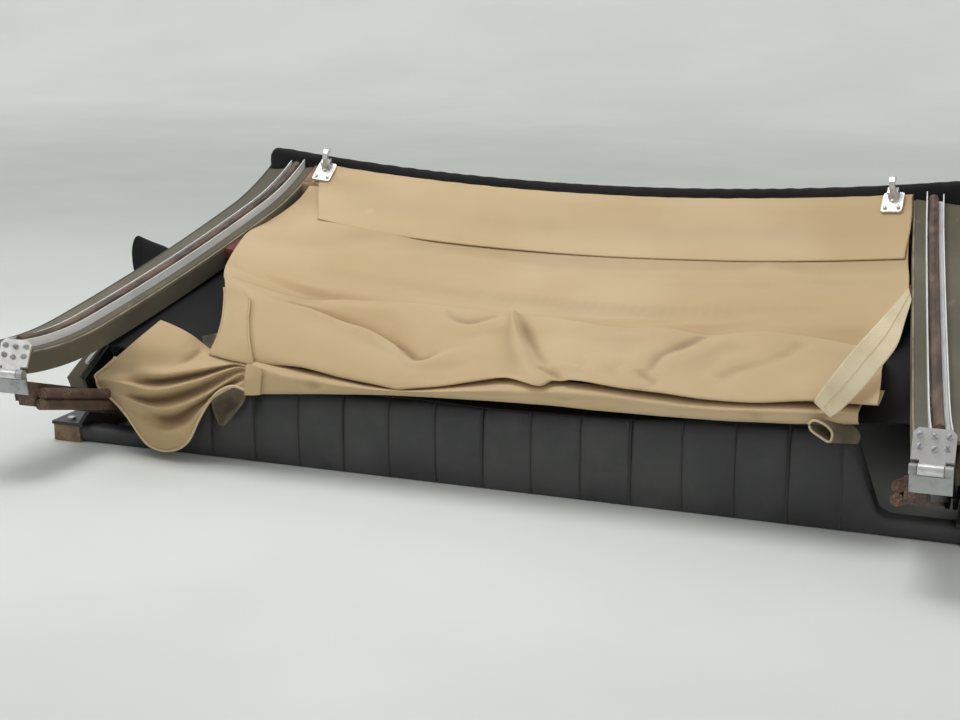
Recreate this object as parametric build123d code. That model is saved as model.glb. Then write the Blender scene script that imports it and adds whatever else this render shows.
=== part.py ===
from build123d import *
from math import atan2, cos, degrees, radians, sin, tan
import os

# Folding soft top of a vintage convertible car, lowered: the front frame lies upside down over the rear bow.
# All sizes are in millimetres. +X is the car's left side, +Y is towards its rear and +Z is up.
# The origin is under the pivot line, halfway between the two hood brackets, on the face that meets the body.

# Pivots, as (y, z) in the side view, and the running clearances
pivot = (0, 50)
knuckle = (-261, 156)
pin_radius = 5
pin_clearance = 0.05
open_pin_clearance = 0.3
joint_gap = 5

# Swing of each part of the frame from lowered to raised, in degrees
post_swing = -50
frame_swing = 165

# Front rails: the line is the top edge of the channel, seen from the side
mitre_angle = 64.5
mitre_depth = 48.8
rail_arcs = [(152, 18.3), (454, 5.4), (152, 18.3)]  # length, turn in degrees
rail_rise = 14.5
rail_splay = 8.1
rail_half_width = 651
rail_width = 49
rail_lip = 4
rail_depth = 33
rail_chamfer = 5
channel_width = 26
channel_depth = 12
channel_wall = 1.6
seal_radius = 7.5
seal_sides = 8
seal_start = 15
seal_end = 25
flap_width = 40
flap_thickness = 4

# Knuckle hinges
knuckle_plate_width = 50
knuckle_plate_length = 50
knuckle_plate_thickness = 3
knuckle_plate_corner = 6
knuckle_plane_gap = 3
barrel_radius = 7
barrel_length = 30
lug_length = 9
lug_gap = 1
lug_reach = 3
knuckle_pin_radius = 4
strap_length = 22

# Header and its trim, roof bow
header_width = 42
header_depth = 40
header_crown = 38
trim_width = 13
trim_rise = 8
roof_bow_place = 225
roof_bow_width = 40
roof_bow_depth = 16
lining_drop = 8
crease_place = 330
header_lift = 12

# Latches on the header
latch_inset = 115
latch_width = 32
latch_length = 42
latch_thickness = 4
latch_corner = 5
latch_gap = 3.4
latch_ear = (4, 12, 12)
latch_ear_place = 8
hook_width = 8
hook_outline = [(7, 4), (17, 4), (18, 19), (22, 25), (28, 25), (30, 21), (34, 24), (31, 31), (24, 33), (16, 31), (10, 23)]

# Posts, their irons and welts
post_inset = 51
post_width = 26
post_foot_depth = 34
iron_thickness = 5
iron_margin = 6
eye_radius = 20
welt_radius = 8
welt_top_gap = 24
welt_foot_gap = 60

# Rear bow, its curved legs and leg irons
rear_arcs = [(190, -14), (215, -22)]  # length, turn in degrees
rear_leg_start = (-62, 92)
rear_leg_angle = 28
rear_leg_depth = 30
rear_leg_width = 26
rear_bow_width = 24
rear_crown = 20
timber_chamfer = 3
strip_width = 6
strip_height = 5
strip_start = 30
strip_end = 180
leg_iron_reach = 80
leg_iron_depth = 22
buffer_size = (15, 26, 12)
buffer_place = 120
buffer_gap = 1

# Base on the body
bracket_foot = 54
bracket_length = 130
bracket_plate = 5
bracket_wall = 7
bracket_bolt_spacing = 90
bolt_radius = 4.5
tack_width = 45
tack_height = 26
tack_front = -60
tack_rear = 575
tack_corner = 300
tack_bolt_spacing = 600
seat_rail_place = -40
seat_rail_thickness = 22
seat_rail_height = 112
seat_rail_shoulder = 95
seat_rail_slope = 60

# Cloth
cloth_gap = 0.3
cover_thickness = 4
cover_drop = 2.4
cover_front_end = -62
cover_front_inset = 20
cover_inset = 80
middle_front = (80, 128)
middle_thickness = 15
tail_overlap = 10
tail_thickness = 12
tail_sag = [(372, 162), (405, 134), (455, 98), (505, 62), (540, 40)]
quarter_gap = 3
quarter_thickness = 10
quarter_front = 80
quarter_height = 124
lining_thickness = 3
lining_inset = 2
roll_tops = [  # place across the car, then the roll's upper line from back to front
    (-400, [(60, 237), (12, 229), (-25, 207), (-55, 179), (-68, 156)]),
    (-240, [(70, 224), (30, 204), (-25, 190), (-60, 169), (-80, 148)]),
    (-100, [(68, 227), (0, 192), (-45, 172), (-78, 156), (-90, 143)]),
    (50, [(60, 224), (10, 204), (-30, 195), (-62, 184), (-86, 170)]),
    (448, [(62, 226), (0, 213), (-45, 201), (-75, 189), (-90, 178)]),
]
roll_back = 105
roll_back_floor = 197
roll_back_thickness = 12
roll_underside = (-60, 152)
lower_levels = [(-330, 116, 146), (-100, 134, 145), (50, 146, 168), (250, 146, 168), (448, 156, 176)]
lower_thickness = 4
lower_place = -94.3
lower_slant = 2
slack_thickness = 15
slack_gap = 0.3
slack_half_width = 480
corner_place = -85
corner_thickness = 20
corner_outline = [
    (-583, 105), (-560, 70), (-540, 25), (-510, 14), (-480, 22), (-460, 60), (-430, 90),
    (-400.3, 140), (-400.3, 200), (-440, 175), (-500, 130),
]
strap_width = 28
strap_foot = (-75, 186)
strap_head = (120, 245)
strap_gap = 3

os.makedirs("parts", exist_ok=True)


def polar(start, length, angle):
    return (start[0] + length * cos(radians(angle)), start[1] + length * sin(radians(angle)))


def side_plate(corners, x_low, x_high):
    """Flat piece cut to a side view outline, between two places across the car."""
    outline = Polyline([(x_low, y, z) for y, z in corners], close=True)
    return extrude(make_face(outline.edges()), x_high - x_low, dir=(1, 0, 0))


def across(point, x_low, x_high, radius):
    """Round bar across the car."""
    bar = Cylinder(radius, x_high - x_low, align=(Align.CENTER, Align.CENTER, Align.MIN))
    return Pos(x_low, point[0], point[1]) * Rot(0, 90, 0) * bar


def both_sides(name, shape):
    """The left piece, and its mirror image on the right."""
    return {f"{name}_left": shape, f"{name}_right": mirror(shape, about=Plane.YZ)}


# Lines of arcs in a side view
def arc_stations(arcs, angle):
    """Breakpoints (distance, y, z, angle) of a chain of arcs that starts at the origin."""
    stations = [(0, 0, 0, angle)]
    for length, turn in arcs:
        distance, y, z, angle = stations[-1]
        y, z = polar((y, z), 2 * length / radians(turn) * sin(radians(turn) / 2), angle + turn / 2)
        stations.append((distance + length, y, z, angle + turn))
    return stations


def arc_point(arcs, angle, distance, offset):
    """Point at a distance along the chain, moved square to it by offset."""
    stations = arc_stations(arcs, angle)[:-1]
    index = max(number for number, station in enumerate(stations) if station[0] <= distance)
    start, y, z, heading = stations[index]
    turned = arcs[index][1] * (distance - start) / arcs[index][0]
    if turned:
        y, z = polar((y, z), 2 * (distance - start) / radians(turned) * sin(radians(turned) / 2), heading + turned / 2)
    return polar((y, z), offset, heading + turned + 90)


def arc_strip(arcs, angle, low, high, x_low, x_high, start=0, end=None):
    """Solid strip along the chain of arcs, between two offsets from it and two places across it."""
    marks = [station[0] for station in arc_stations(arcs, angle)]
    end = marks[-1] if end is None else end
    marks = [start, *[mark for mark in marks if start < mark < end], end]
    edges = []
    for offset in (low, high):
        for first, last in zip(marks, marks[1:]):
            points = [arc_point(arcs, angle, place, offset) for place in (first, (first + last) / 2, last)]
            edges.append(ThreePointArc(*[(x_low, y, z) for y, z in points]).edge())
    for place in (start, end):
        ends = [arc_point(arcs, angle, place, offset) for offset in (low, high)]
        edges.append(Line(*[(x_low, y, z) for y, z in ends]).edge())
    return extrude(make_face(edges), x_high - x_low, dir=(1, 0, 0))


# Places that the pieces share: the rail's line, the header at its end and the stack of parts at each pivot
rail_length = sum(length for length, turn in rail_arcs)
rail_turn = sum(turn for length, turn in rail_arcs)
rail_angle = rail_rise - rail_turn / 2
rail_end = polar(knuckle, mitre_depth, mitre_angle)
rail_place = Pos(rail_half_width, *rail_end) * Rot(0, 0, rail_splay)
rail_tip = arc_point(rail_arcs, rail_angle, rail_length, 0)
tip_angle = rail_angle + rail_turn
header_end = rail_end[0] + rail_tip[0] * cos(radians(rail_splay))
header_back = header_end - trim_width
header_front = header_back - header_width
post_inner = rail_half_width - post_inset
post_outer = post_inner + post_width
post_iron_outer = post_outer + iron_thickness
leg_inner = post_iron_outer + joint_gap + iron_thickness
leg_outer = leg_inner + rear_leg_width
lug_inner = leg_inner + joint_gap
base_half_width = lug_inner + bracket_foot
barrel_centre = rail_half_width + rail_lip - rail_width / 2


def rail_level(y):
    """Height of the channel's edge at a place along the car."""
    reach = (y - rail_end[0]) / cos(radians(rail_splay))
    points = [arc_point(rail_arcs, rail_angle, rail_length * step / 200, 0) for step in range(201)]
    nearest = min(points, key=lambda point: abs(point[0] - reach))
    return rail_end[1] + nearest[1]


def rail_across(y):
    """Place across the car of the channel's outer wall."""
    return rail_half_width - (y - rail_end[0]) * tan(radians(rail_splay))


def lining_seat(y):
    """Height at which a bow carries the lining, at the full half width of the header: it climbs from the crease."""
    climb = header_lift * max(0, (y - crease_place) / (header_end - crease_place))
    return rail_level(y) - lining_drop + climb


header_half_width = rail_across(header_end) + rail_lip + flap_width


def crown_face(y, top, depth, half_width, crown=header_crown, reach=header_half_width):
    """Cross section of a bow: a band that dips by crown in the middle, from its level at reach."""
    bands = []
    for level in (top, top - depth):
        end = level - crown * (1 - (half_width / reach) ** 2)
        bands.append(ThreePointArc((-half_width, y, end), (0, y, level - crown), (half_width, y, end)).edge())
    ends = [Line(bands[0] @ place, bands[1] @ place).edge() for place in (0, 1)]
    return make_face([*bands, *ends])


# Front rails, mitred at the knuckle and cut off square under the header's trim
past = 200
mitre_frame = Pos(0, *knuckle) * Rot(mitre_angle, 0, 0)
plate_top = -knuckle_plane_gap
plate_back = plate_top - knuckle_plate_thickness
mitre_cut = mitre_frame * Pos(0, 0, plate_back + past) * Box(10 * past, 2 * past, 2 * past)
header_cut = Pos(0, header_back + past, 0) * Box(10 * past, 2 * past, 10 * past)
knuckle_space = across(knuckle, barrel_centre - past, barrel_centre + past, barrel_radius + joint_gap)


def rail_solid(low, high, x_low, x_high, chamfered=0):
    """Length of rail between two offsets from the channel's edge, run out straight past both ends and cut there."""
    ends = []
    for place, angle, run in ((0, rail_angle, -past / 3), (rail_length, tip_angle, past / 5)):
        sides = [arc_point(rail_arcs, rail_angle, place, offset) for offset in (low, high)]
        ends.append(side_plate([*sides, *[polar(side, run, angle) for side in reversed(sides)]], x_low, x_high))
    whole = arc_strip(rail_arcs, rail_angle, low, high, x_low, x_high) + ends
    if chamfered:
        upper = [face for face in whole.faces() if face.normal_at().Z > 0.7]
        inner = [edge for face in upper for edge in face.edges() if abs(edge.center().X - x_low) < cloth_gap]
        whole = chamfer(inner, chamfered)
    return rail_place * whole - mitre_cut - header_cut - knuckle_space


front_rail = rail_solid(-channel_depth - rail_depth, -channel_depth, rail_lip - rail_width, rail_lip, rail_chamfer)
channel = rail_solid(-channel_depth, channel_wall - channel_depth, -channel_width, 0)
for wall in (-channel_width, -channel_wall):
    channel += rail_solid(-channel_depth, 0, wall, wall + channel_wall)
edge_flap = rail_solid(-channel_depth - flap_thickness, -channel_depth, rail_lip, rail_lip + flap_width)

seal_line = channel_wall - channel_depth + seal_radius
seal_marks = [station[0] for station in arc_stations(rail_arcs, rail_angle)][1:-1]
seal_marks = [seal_start, *seal_marks, rail_length - seal_end]
seal_path = []
for first, last in zip(seal_marks, seal_marks[1:]):
    points = [arc_point(rail_arcs, rail_angle, place, seal_line) for place in (first, (first + last) / 2, last)]
    seal_path.append(ThreePointArc(*[(0, y, z) for y, z in points]).edge())
seal_path = Wire(seal_path)
seal_section = Plane(seal_path @ 0, z_dir=seal_path % 0) * RegularPolygon(seal_radius, seal_sides)
rail_seal = rail_place * Pos(2 * channel_wall + seal_radius - channel_width, 0, 0) * sweep(seal_section, seal_path)

# Header between the rails, an ash bow at the front edge of the roof, with a black roll of trim over its outer face
inner_face = rail_lip - rail_width
side_cut = rail_place * Pos(inner_face, 0, 0) * Box(past, 10 * past, 10 * past, align=(Align.MIN, Align.CENTER, Align.CENTER))
side_cuts = [side_cut, mirror(side_cut, about=Plane.YZ)]
header = loft([
    crown_face(y, lining_seat(y), header_depth, rail_across(y)) for y in (header_front, header_back)
], ruled=True) - side_cuts
trim_top = rail_level(header_end) + trim_rise
trim_depth = trim_rise + channel_depth + rail_depth
header_trim = loft([
    crown_face(header_back, trim_top, trim_depth, header_half_width),
    crown_face(header_end, trim_top - trim_width / 2, trim_depth - trim_width / 2, header_half_width),
], ruled=True)

# Roof bow between the rails
roof_bow = loft([
    crown_face(y, lining_seat(y), roof_bow_depth, rail_across(y))
    for y in (roof_bow_place - roof_bow_width / 2, roof_bow_place + roof_bow_width / 2)
], ruled=True) - side_cuts

# Knuckle plate on the rail's mitred end, with the hinge barrel rolled at its lower edge
barrel_low = barrel_centre - barrel_length / 2
barrel_high = barrel_centre + barrel_length / 2
blank = Pos(barrel_centre, knuckle_plate_length / 2, plate_top - knuckle_plate_thickness / 2) * Box(
    knuckle_plate_width, knuckle_plate_length, knuckle_plate_thickness)
free_corners = blank.edges().filter_by(Axis.Z).group_by(Axis.Y)[-1]
knuckle_plate = mitre_frame * chamfer(free_corners, knuckle_plate_corner)
knuckle_plate += across(knuckle, barrel_low, barrel_high, barrel_radius)
lug_places = [(barrel_low - lug_gap - lug_length, barrel_low - lug_gap),
              (barrel_high + lug_gap, barrel_high + lug_gap + lug_length)]
knuckle_plate = knuckle_plate - [
    across(knuckle, low - lug_gap, high + lug_gap, barrel_radius + joint_gap) for low, high in lug_places
]
bores = [across(knuckle, barrel_centre - past, barrel_centre + past, knuckle_pin_radius + clearance)
         for clearance in (pin_clearance, open_pin_clearance)]
plate_left = knuckle_plate - bores[0]
plate_right = mirror(knuckle_plate - bores[1], about=Plane.YZ)

# Latch on the lining side of the header: a screwed plate with two ears and a hook between them
latch_place = header_half_width - latch_inset
latch_seat = (header_front + header_back) / 2
latch_dip = header_crown * (1 - (latch_place / header_half_width) ** 2)
latch_tilt = degrees(atan2(2 * header_crown * latch_place, header_half_width ** 2))
latch_level = lining_seat(latch_seat) - latch_dip + 1.5 * lining_thickness + latch_gap
latch_frame = Pos(latch_place, latch_seat, latch_level) * Rot(tip_angle, 0, 0) * Rot(0, -latch_tilt, 0)
plate = Pos(0, 0, latch_thickness / 2) * Box(latch_width, latch_length, latch_thickness)
latch = fillet(plate.edges().filter_by(Axis.Z), latch_corner)
ear_width, ear_length, ear_height = latch_ear
for side in (-1, 1):
    latch += Pos(side * (hook_width + ear_width) / 2, latch_ear_place + ear_length / 2,
                 latch_thickness + ear_height / 2) * Box(ear_width, ear_length, ear_height)
latch = latch_frame * (latch + side_plate(hook_outline, -hook_width / 2, hook_width / 2))

# Posts: timber from the knuckle down to the pivot, with an iron on the outer face
post_mitre = mitre_angle + frame_swing - post_swing
mitre_start = polar(knuckle, knuckle_plane_gap + knuckle_plate_thickness, post_mitre + 90)
post_top = polar(mitre_start, barrel_radius + joint_gap, post_mitre)
post_bottom = polar(mitre_start, knuckle_plate_length, post_mitre)
post_direction = degrees(atan2(knuckle[1] - pivot[1], knuckle[0] - pivot[0]))
foot_top = polar(pivot, post_foot_depth / 2, post_direction - 90)
foot_bottom = polar(pivot, post_foot_depth / 2, post_direction + 90)
pivot_hole = across(pivot, post_inner - past, base_half_width, pin_radius + pin_clearance)
post = side_plate([post_top, post_bottom, foot_bottom, foot_top], post_inner, post_outer)
post += across(pivot, post_inner, post_outer, post_foot_depth / 2)
post = post - pivot_hole
post_iron = side_plate([
    polar(post_top, iron_margin, post_mitre), polar(post_bottom, -iron_margin, post_mitre),
    polar(foot_bottom, iron_margin, post_direction - 90), polar(foot_top, iron_margin, post_direction + 90),
], post_outer, post_iron_outer)
post_iron += across(pivot, post_outer, post_iron_outer, eye_radius)
post_iron = post_iron - pivot_hole

# Knuckle strap on the post's end face, with two lugs and the hinge pin
strap_frame = Pos(0, *knuckle) * Rot(post_mitre, 0, 0)
strap_height = knuckle_plane_gap + knuckle_plate_thickness / 2
strap_low = barrel_radius + lug_reach
knuckle_strap = strap_frame * Pos(barrel_centre, strap_low + strap_length / 2, strap_height) * Box(
    knuckle_plate_width, strap_length, knuckle_plate_thickness)
for low, high in lug_places:
    knuckle_strap += across(knuckle, low, high, barrel_radius)
    knuckle_strap += strap_frame * Pos((low + high) / 2, strap_low / 2 + lug_reach, strap_height) * Box(
        lug_length, strap_low, knuckle_plate_thickness)
knuckle_strap += across(knuckle, lug_places[0][0], lug_places[1][1], knuckle_pin_radius)

# Ribbed welt along the post's inner face: two round ribs side by side
welt_start = polar(polar(post_top, welt_top_gap, post_mitre), welt_radius, post_direction - 180)
welt_end = polar(pivot, welt_foot_gap, post_direction)
ribs = []
for side in (-1, 1):
    ends = [polar(point, side * welt_radius, post_direction + 90) for point in (welt_start, welt_end)]
    line = Line(*[(post_inner - welt_radius, y, z) for y, z in ends])
    ribs.append(sweep(Plane(line @ 0, z_dir=line % 0) * Circle(welt_radius), line))
welt = ribs[0] + ribs[1]

# Rear bow: curved legs outside the posts, on irons that share the posts' pin, and a bow across
leg_place = Pos(0, *rear_leg_start)
rear_leg = arc_strip(rear_arcs, rear_leg_angle, -rear_leg_depth / 2, rear_leg_depth / 2, leg_inner, leg_outer)
long_edges = rear_leg.edges().filter_by(lambda edge: edge.length > 3 * rear_leg_depth)
rear_leg = leg_place * chamfer(long_edges, timber_chamfer)
strip_outer = leg_inner + timber_chamfer + strip_width
rear_strip = leg_place * arc_strip(rear_arcs, rear_leg_angle, rear_leg_depth / 2, rear_leg_depth / 2 + strip_height,
                                   strip_outer - strip_width, strip_outer, strip_start, strip_end)
leg_run = arc_point(rear_arcs, rear_leg_angle, sum(length for length, turn in rear_arcs), 0)
rear_tip = (rear_leg_start[0] + leg_run[0], rear_leg_start[1] + leg_run[1])
rear_bow = loft([
    crown_face(rear_tip[0] + place, rear_tip[1] + rear_leg_depth / 2, rear_leg_depth, leg_outer, -rear_crown, leg_outer)
    for place in (0, rear_bow_width)
], ruled=True) - rear_leg - mirror(rear_leg, about=Plane.YZ)
iron_low = leg_inner - iron_thickness
iron_tip = polar(rear_leg_start, leg_iron_reach, rear_leg_angle)
leg_iron = side_plate([
    (pivot[0] - eye_radius, pivot[1]), polar(rear_leg_start, leg_iron_depth / 2, rear_leg_angle - 90),
    polar(rear_leg_start, leg_iron_depth / 2, rear_leg_angle + 90),
    polar(iron_tip, leg_iron_depth / 2, rear_leg_angle + 90), polar(iron_tip, leg_iron_depth / 2, rear_leg_angle - 90),
    (pivot[0] + eye_radius, pivot[1]),
], iron_low, leg_inner)
leg_iron += across(pivot, iron_low, leg_inner, eye_radius)
leg_iron = leg_iron - pivot_hole

# Buffer on the rear leg, where the lowered front frame comes to rest
leg_top = arc_point(rear_arcs, rear_leg_angle, buffer_place, rear_leg_depth / 2)
buffer_turn = rear_leg_angle + rear_arcs[0][1] * buffer_place / rear_arcs[0][0]
buffer_frame = leg_place * Pos(strip_outer + buffer_gap, *leg_top) * Rot(buffer_turn, 0, 0)
rest_buffer = buffer_frame * Pos(0, 0, cloth_gap) * Box(
    *buffer_size, align=(Align.MIN, Align.CENTER, Align.MIN))

# Pivot brackets on the ends of the tack rail
bracket_top = tack_height + bracket_plate
bracket = Pos((lug_inner + base_half_width) / 2, pivot[0], tack_height + bracket_plate / 2) * Box(
    bracket_foot, bracket_length, bracket_plate)
shoulder = eye_radius * cos(radians(37))
shoulder_level = pivot[1] + eye_radius * sin(radians(37))
bracket += side_plate([
    (pivot[0] - bracket_length / 2, bracket_top), (pivot[0] - shoulder, shoulder_level),
    (pivot[0] + shoulder, shoulder_level), (pivot[0] + bracket_length / 2, bracket_top),
    (pivot[0] + bracket_length / 2, tack_height), (pivot[0] - bracket_length / 2, tack_height),
], lug_inner, lug_inner + bracket_wall)
bracket += across(pivot, lug_inner, lug_inner + bracket_wall, eye_radius)
bracket += across(pivot, post_inner, lug_inner, pin_radius)
bracket_bolts = [Pos(base_half_width - tack_width / 2, pivot[0] + side * bracket_bolt_spacing / 2, 0)
                 * Cylinder(bolt_radius, past) for side in (-1, 1)]
bracket = bracket - bracket_bolts

# Tack rail, a U of ash along the body's edge
tack_inner = base_half_width - tack_width
outlines = []
for half_width, corner in ((base_half_width, tack_corner), (tack_inner, tack_corner - tack_width)):
    outline = Rectangle(2 * half_width, tack_rear - tack_front)
    outlines.append(fillet(outline.vertices().group_by(Axis.Y)[-1], corner))
tack_rail = extrude(outlines[0] - Pos(0, -tack_width, 0) * outlines[1], tack_height)
tack_bolts = [Pos(side * tack_bolt_spacing / 2, tack_rear - tack_width / 2, 0) * Cylinder(bolt_radius, past)
              for side in (-1, 1)]
tack_rail = Pos(0, (tack_front + tack_rear) / 2, 0) * tack_rail - tack_bolts
tack_rail = tack_rail - bracket_bolts - [mirror(bolt, about=Plane.YZ) for bolt in bracket_bolts]

# Seat back rail between the ends of the tack rail
rail_shoulder = tack_inner - seat_rail_shoulder
rail_outline = [
    (-tack_inner, 0), (tack_inner, 0), (tack_inner, tack_height), (rail_shoulder, tack_height),
    (rail_shoulder - seat_rail_slope, seat_rail_height), (seat_rail_slope - rail_shoulder, seat_rail_height),
    (-rail_shoulder, tack_height), (-tack_inner, tack_height),
]
rail_face = Polyline([(x, seat_rail_place - seat_rail_thickness / 2, z) for x, z in rail_outline], close=True)
seat_back_rail = extrude(make_face(rail_face.edges()), seat_rail_thickness, dir=(0, 1, 0))

# Lining: panel under the header, slack part, rolls over the seat back rail and the corner that hangs on the right
panel_marks = [roof_bow_place, crease_place, header_front, header_back]
lining_panel = loft([
    crown_face(y, lining_seat(y) + 1.5 * lining_thickness, lining_thickness, rail_across(y) + inner_face - lining_inset)
    for y in panel_marks
], ruled=True)
roll_faces = []
for x, top in roll_tops:
    ring = [(roll_back, roll_back_floor + roll_back_thickness), *top, roll_underside, (roll_back, roll_back_floor)]
    roll_faces.append(make_face(Polyline([(x, y, z) for y, z in ring], close=True).edges()))
lining_roll = loft(roll_faces, ruled=True)
lower_faces = []
for x, low, high in lower_levels:
    ring = [(lower_place, high), (lower_place + lower_thickness, high),
            (lower_place + lower_thickness + lower_slant, low), (lower_place + lower_slant, low)]
    lower_faces.append(make_face(Polyline([(x, y, z) for y, z in ring], close=True).edges()))
lining_lower = loft(lower_faces, ruled=True)
slack_front = roll_back + slack_gap
slack_back = roof_bow_place - roof_bow_width / 2 - cloth_gap
lining_slack = loft([
    crown_face(y, lining_seat(y), slack_thickness, slack_half_width) for y in (slack_front, slack_back)
], ruled=True)
corner_edge = Polyline([(x, corner_place, z) for x, z in corner_outline], close=True)
lining_corner = extrude(make_face(corner_edge.edges()), corner_thickness, dir=(0, 1, 0))

# Loose webbing strap from the left rail down to the roll
strap_start = Vector(roll_tops[-1][0] + strap_gap, *strap_foot)
strap_end = Vector(rail_across(strap_head[0]) + inner_face - strap_gap, *strap_head)
strap_run = strap_end - strap_start
strap_line = Plane(strap_start, x_dir=(0, 0, 1), z_dir=strap_run)
hanging_strap = extrude(strap_line * Rectangle(strap_width, lining_thickness), strap_run.length)

# Outer cloth: roof panel under the flipped rails, middle fold, quarters and the tail down to the tack rail
cover_line = channel_depth + rail_depth + cloth_gap + cover_drop
cover_steps = [cover_front_end + (header_back - cover_front_end) * share for share in (0, 0.22, 0.48, 0.75, 0.86, 1)]
cover_front = loft([
    crown_face(y, rail_level(y) - cover_line, cover_thickness, rail_across(y) - cover_front_inset)
    for y in cover_steps
], ruled=True)
cover_half_width = post_inner - cover_inset
middle_end = rear_tip[0] - cloth_gap
cover_middle = side_plate([
    middle_front, (middle_front[0], middle_front[1] + middle_thickness), (middle_end, rear_tip[1] + rear_leg_depth / 6),
    (middle_end, rear_tip[1] - rear_leg_depth / 2),
], -cover_half_width, cover_half_width)
tail_start = rear_tip[0] + rear_bow_width + cloth_gap
tail_seat = tack_height + cloth_gap
cover_tail = side_plate([
    (tail_start, rear_tip[1] - rear_leg_depth / 6), (tail_start, rear_tip[1] + rear_leg_depth / 3), *tail_sag,
    (tack_rear - tail_overlap, tail_seat + tail_thickness / 2), (tack_rear - tail_overlap, tail_seat),
    (tack_rear - tack_width, tail_seat), *[(y, z - tail_thickness) for y, z in reversed(tail_sag[:-1])],
], -cover_half_width, cover_half_width)
cover_quarter = side_plate([
    (quarter_front, tail_seat), (tack_rear - tack_corner, tail_seat),
    (tack_rear - tack_corner, tail_seat + quarter_height), (quarter_front, tail_seat + quarter_height),
], leg_outer + quarter_gap, leg_outer + quarter_gap + quarter_thickness)

nodes = {
    "tack_rail": tack_rail, "seat_back_rail": seat_back_rail, "lining_roll": lining_roll,
    "lining_lower": lining_lower, "lining_corner": lining_corner, "cover_tail": cover_tail,
    "header_bow": header, "header_trim": header_trim, "roof_bow": roof_bow, "lining_panel": lining_panel,
    "lining_slack": lining_slack, "hanging_strap": hanging_strap, "cover_front": cover_front,
    "knuckle_plate_left": plate_left, "knuckle_plate_right": plate_right,
    "rear_bow": rear_bow, "cover_middle": cover_middle,
}
for name, shape in [
    ("pivot_bracket", bracket), ("post", post), ("post_iron", post_iron), ("knuckle_strap", knuckle_strap),
    ("post_welt", welt), ("front_rail", front_rail), ("rail_channel", channel), ("rail_seal", rail_seal),
    ("edge_flap", edge_flap), ("latch", latch), ("rear_leg", rear_leg), ("rear_strip", rear_strip),
    ("leg_iron", leg_iron), ("rest_buffer", rest_buffer), ("cover_quarter", cover_quarter),
]:
    nodes.update(both_sides(name, shape))
for name, shape in nodes.items():
    export_step(shape, f"parts/{name}.step")
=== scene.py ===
import bpy
import numpy as np
from math import radians
from mathutils import Euler, Matrix, Vector


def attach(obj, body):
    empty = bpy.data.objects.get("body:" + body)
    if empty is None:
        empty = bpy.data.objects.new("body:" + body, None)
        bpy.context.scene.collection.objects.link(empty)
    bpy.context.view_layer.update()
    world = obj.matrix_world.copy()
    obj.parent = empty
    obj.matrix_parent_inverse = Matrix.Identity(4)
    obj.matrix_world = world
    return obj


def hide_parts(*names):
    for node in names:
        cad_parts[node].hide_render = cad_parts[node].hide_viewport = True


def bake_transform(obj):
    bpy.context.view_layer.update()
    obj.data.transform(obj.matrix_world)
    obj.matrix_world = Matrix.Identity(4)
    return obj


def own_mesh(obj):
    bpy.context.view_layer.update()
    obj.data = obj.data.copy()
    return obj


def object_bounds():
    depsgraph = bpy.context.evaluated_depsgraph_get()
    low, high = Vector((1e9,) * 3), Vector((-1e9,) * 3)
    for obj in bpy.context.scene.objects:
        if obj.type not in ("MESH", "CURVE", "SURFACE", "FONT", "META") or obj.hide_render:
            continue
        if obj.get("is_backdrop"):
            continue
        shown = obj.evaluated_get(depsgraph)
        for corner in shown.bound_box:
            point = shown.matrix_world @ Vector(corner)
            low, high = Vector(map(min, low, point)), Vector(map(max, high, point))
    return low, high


# Folding soft top of a vintage convertible car, lowered. Its left side is +X, its rear is +Y.
# The front frame lies upside down over the rear bow, so the tan lining faces up.
# Rows of points are in mm, and what Blender is given is in metres.
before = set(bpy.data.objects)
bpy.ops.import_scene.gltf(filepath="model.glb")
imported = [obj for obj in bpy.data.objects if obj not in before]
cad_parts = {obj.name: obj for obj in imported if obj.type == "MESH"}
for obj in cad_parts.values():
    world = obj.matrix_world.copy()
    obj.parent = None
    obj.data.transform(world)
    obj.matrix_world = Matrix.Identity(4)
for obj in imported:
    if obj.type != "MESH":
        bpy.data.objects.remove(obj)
frame_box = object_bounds()
bpy.ops.object.select_all(action="DESELECT")
scene = bpy.context.scene
scene.view_settings.view_transform = "Standard"

# Camera: in front of the hood on its left side, turned towards its right side and a little down.
# Its lens and place were fitted to the photograph together with the frame.
camera = bpy.data.cameras.new("camera")
camera.lens = 65.7
camera.sensor_width = 36
viewer = bpy.data.objects.new("camera", camera)
scene.collection.objects.link(viewer)
pitch, yaw, roll = radians(76.6), radians(20.77), radians(0.22)
aim = Euler((pitch, 0, yaw)).to_matrix().to_4x4() @ Matrix.Rotation(roll, 4, "Z")
viewer.matrix_world = Matrix.Translation((0.830, -2.252, 0.745)) @ aim
scene.camera = viewer


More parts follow.
